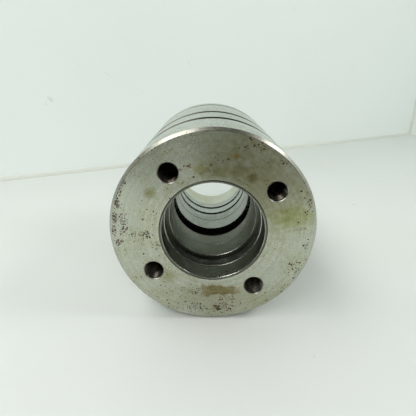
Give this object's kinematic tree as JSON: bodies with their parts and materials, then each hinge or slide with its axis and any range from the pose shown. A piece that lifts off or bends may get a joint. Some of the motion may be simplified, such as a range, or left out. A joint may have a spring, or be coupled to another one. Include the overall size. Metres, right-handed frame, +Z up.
{
  "type": "metal bellows expansion joint",
  "caption": "Compact axial expansion joint: thick steel end rings with tapped faces, a middle control ring on guide pins and a hidden metal bellows round a lined flow bore.",
  "frame": {"origin": "middle of the joint, on the axis of the bore", "axes": "+Y along the bore from the front face to the rear face, +Z up with the joint lying on its side, +X to the right seen from the front"},
  "size_m": [0.11, 0.141, 0.11],
  "materials": {
    "turned_steel": "fine turned, light rust specks",
    "dark_steel": "bored, oil-dark",
    "bore_steel": "bored, satin",
    "ground_steel": "ground",
    "black_seal": "matt black",
    "black_oxide": "black oxide",
    "bronze": "turned bronze",
    "bellows_metal": "heat and soot darkened"
  },
  "bodies": {
    "rear_end": {"rear_shell": "turned_steel", "rear_cuff_ring": "turned_steel", "rear_cuff_screw_1": "black_oxide", "rear_cuff_screw_2": "black_oxide", "rear_cuff_screw_3": "black_oxide", "rear_cuff_screw_4": "black_oxide", "shell_bush_1": "bronze", "shell_bush_2": "bronze", "shell_bush_3": "bronze", "rear_liner_front": "bore_steel", "rear_liner_middle": "bore_steel", "bore_ring_front": "black_seal", "rear_liner_back": "bore_steel", "bore_ring_rear": "black_seal", "outlet_sleeve": "bore_steel", "flange_gasket": "black_seal", "rear_flange": "turned_steel", "rear_flange_screw_1": "black_oxide", "rear_flange_screw_2": "black_oxide", "rear_flange_screw_3": "black_oxide", "rear_flange_screw_4": "black_oxide", "bellows": "bellows_metal"},
    "control": {"control_ring": "turned_steel", "web_upper": "turned_steel", "web_lower": "turned_steel", "web_clamp_ring": "ground_steel", "ring_bush_1": "bronze", "ring_bush_2": "bronze", "ring_bush_3": "bronze"},
    "front_end": {"front_flange": "turned_steel", "mouth_sleeve": "dark_steel", "pipe_seal": "black_seal", "front_liner": "dark_steel", "front_cuff_ring": "turned_steel", "front_cuff_screw_1": "black_oxide", "front_cuff_screw_2": "black_oxide", "front_cuff_screw_3": "black_oxide", "front_cuff_screw_4": "black_oxide", "guide_pin_1": "ground_steel", "guide_pin_2": "ground_steel", "guide_pin_3": "ground_steel", "stop_nut_1": "black_oxide", "stop_nut_2": "black_oxide", "stop_nut_3": "black_oxide"}
  },
  "joints": [
    {"name": "axial_travel", "type": "slide", "parent": "rear_end", "child": "front_end", "axis": [0, 1, 0], "range_m": [-0.006, 0.012], "stiffness_N_per_m": 40000, "deforming": ["bellows"]},
    {"name": "control_ring_travel", "type": "slide", "parent": "rear_end", "child": "control", "axis": [0, 1, 0], "range_m": [-0.003, 0.006]}
  ],
  "couplings": [
    {"joint": "control_ring_travel", "follows": "axial_travel", "ratio": 0.5}
  ]
}
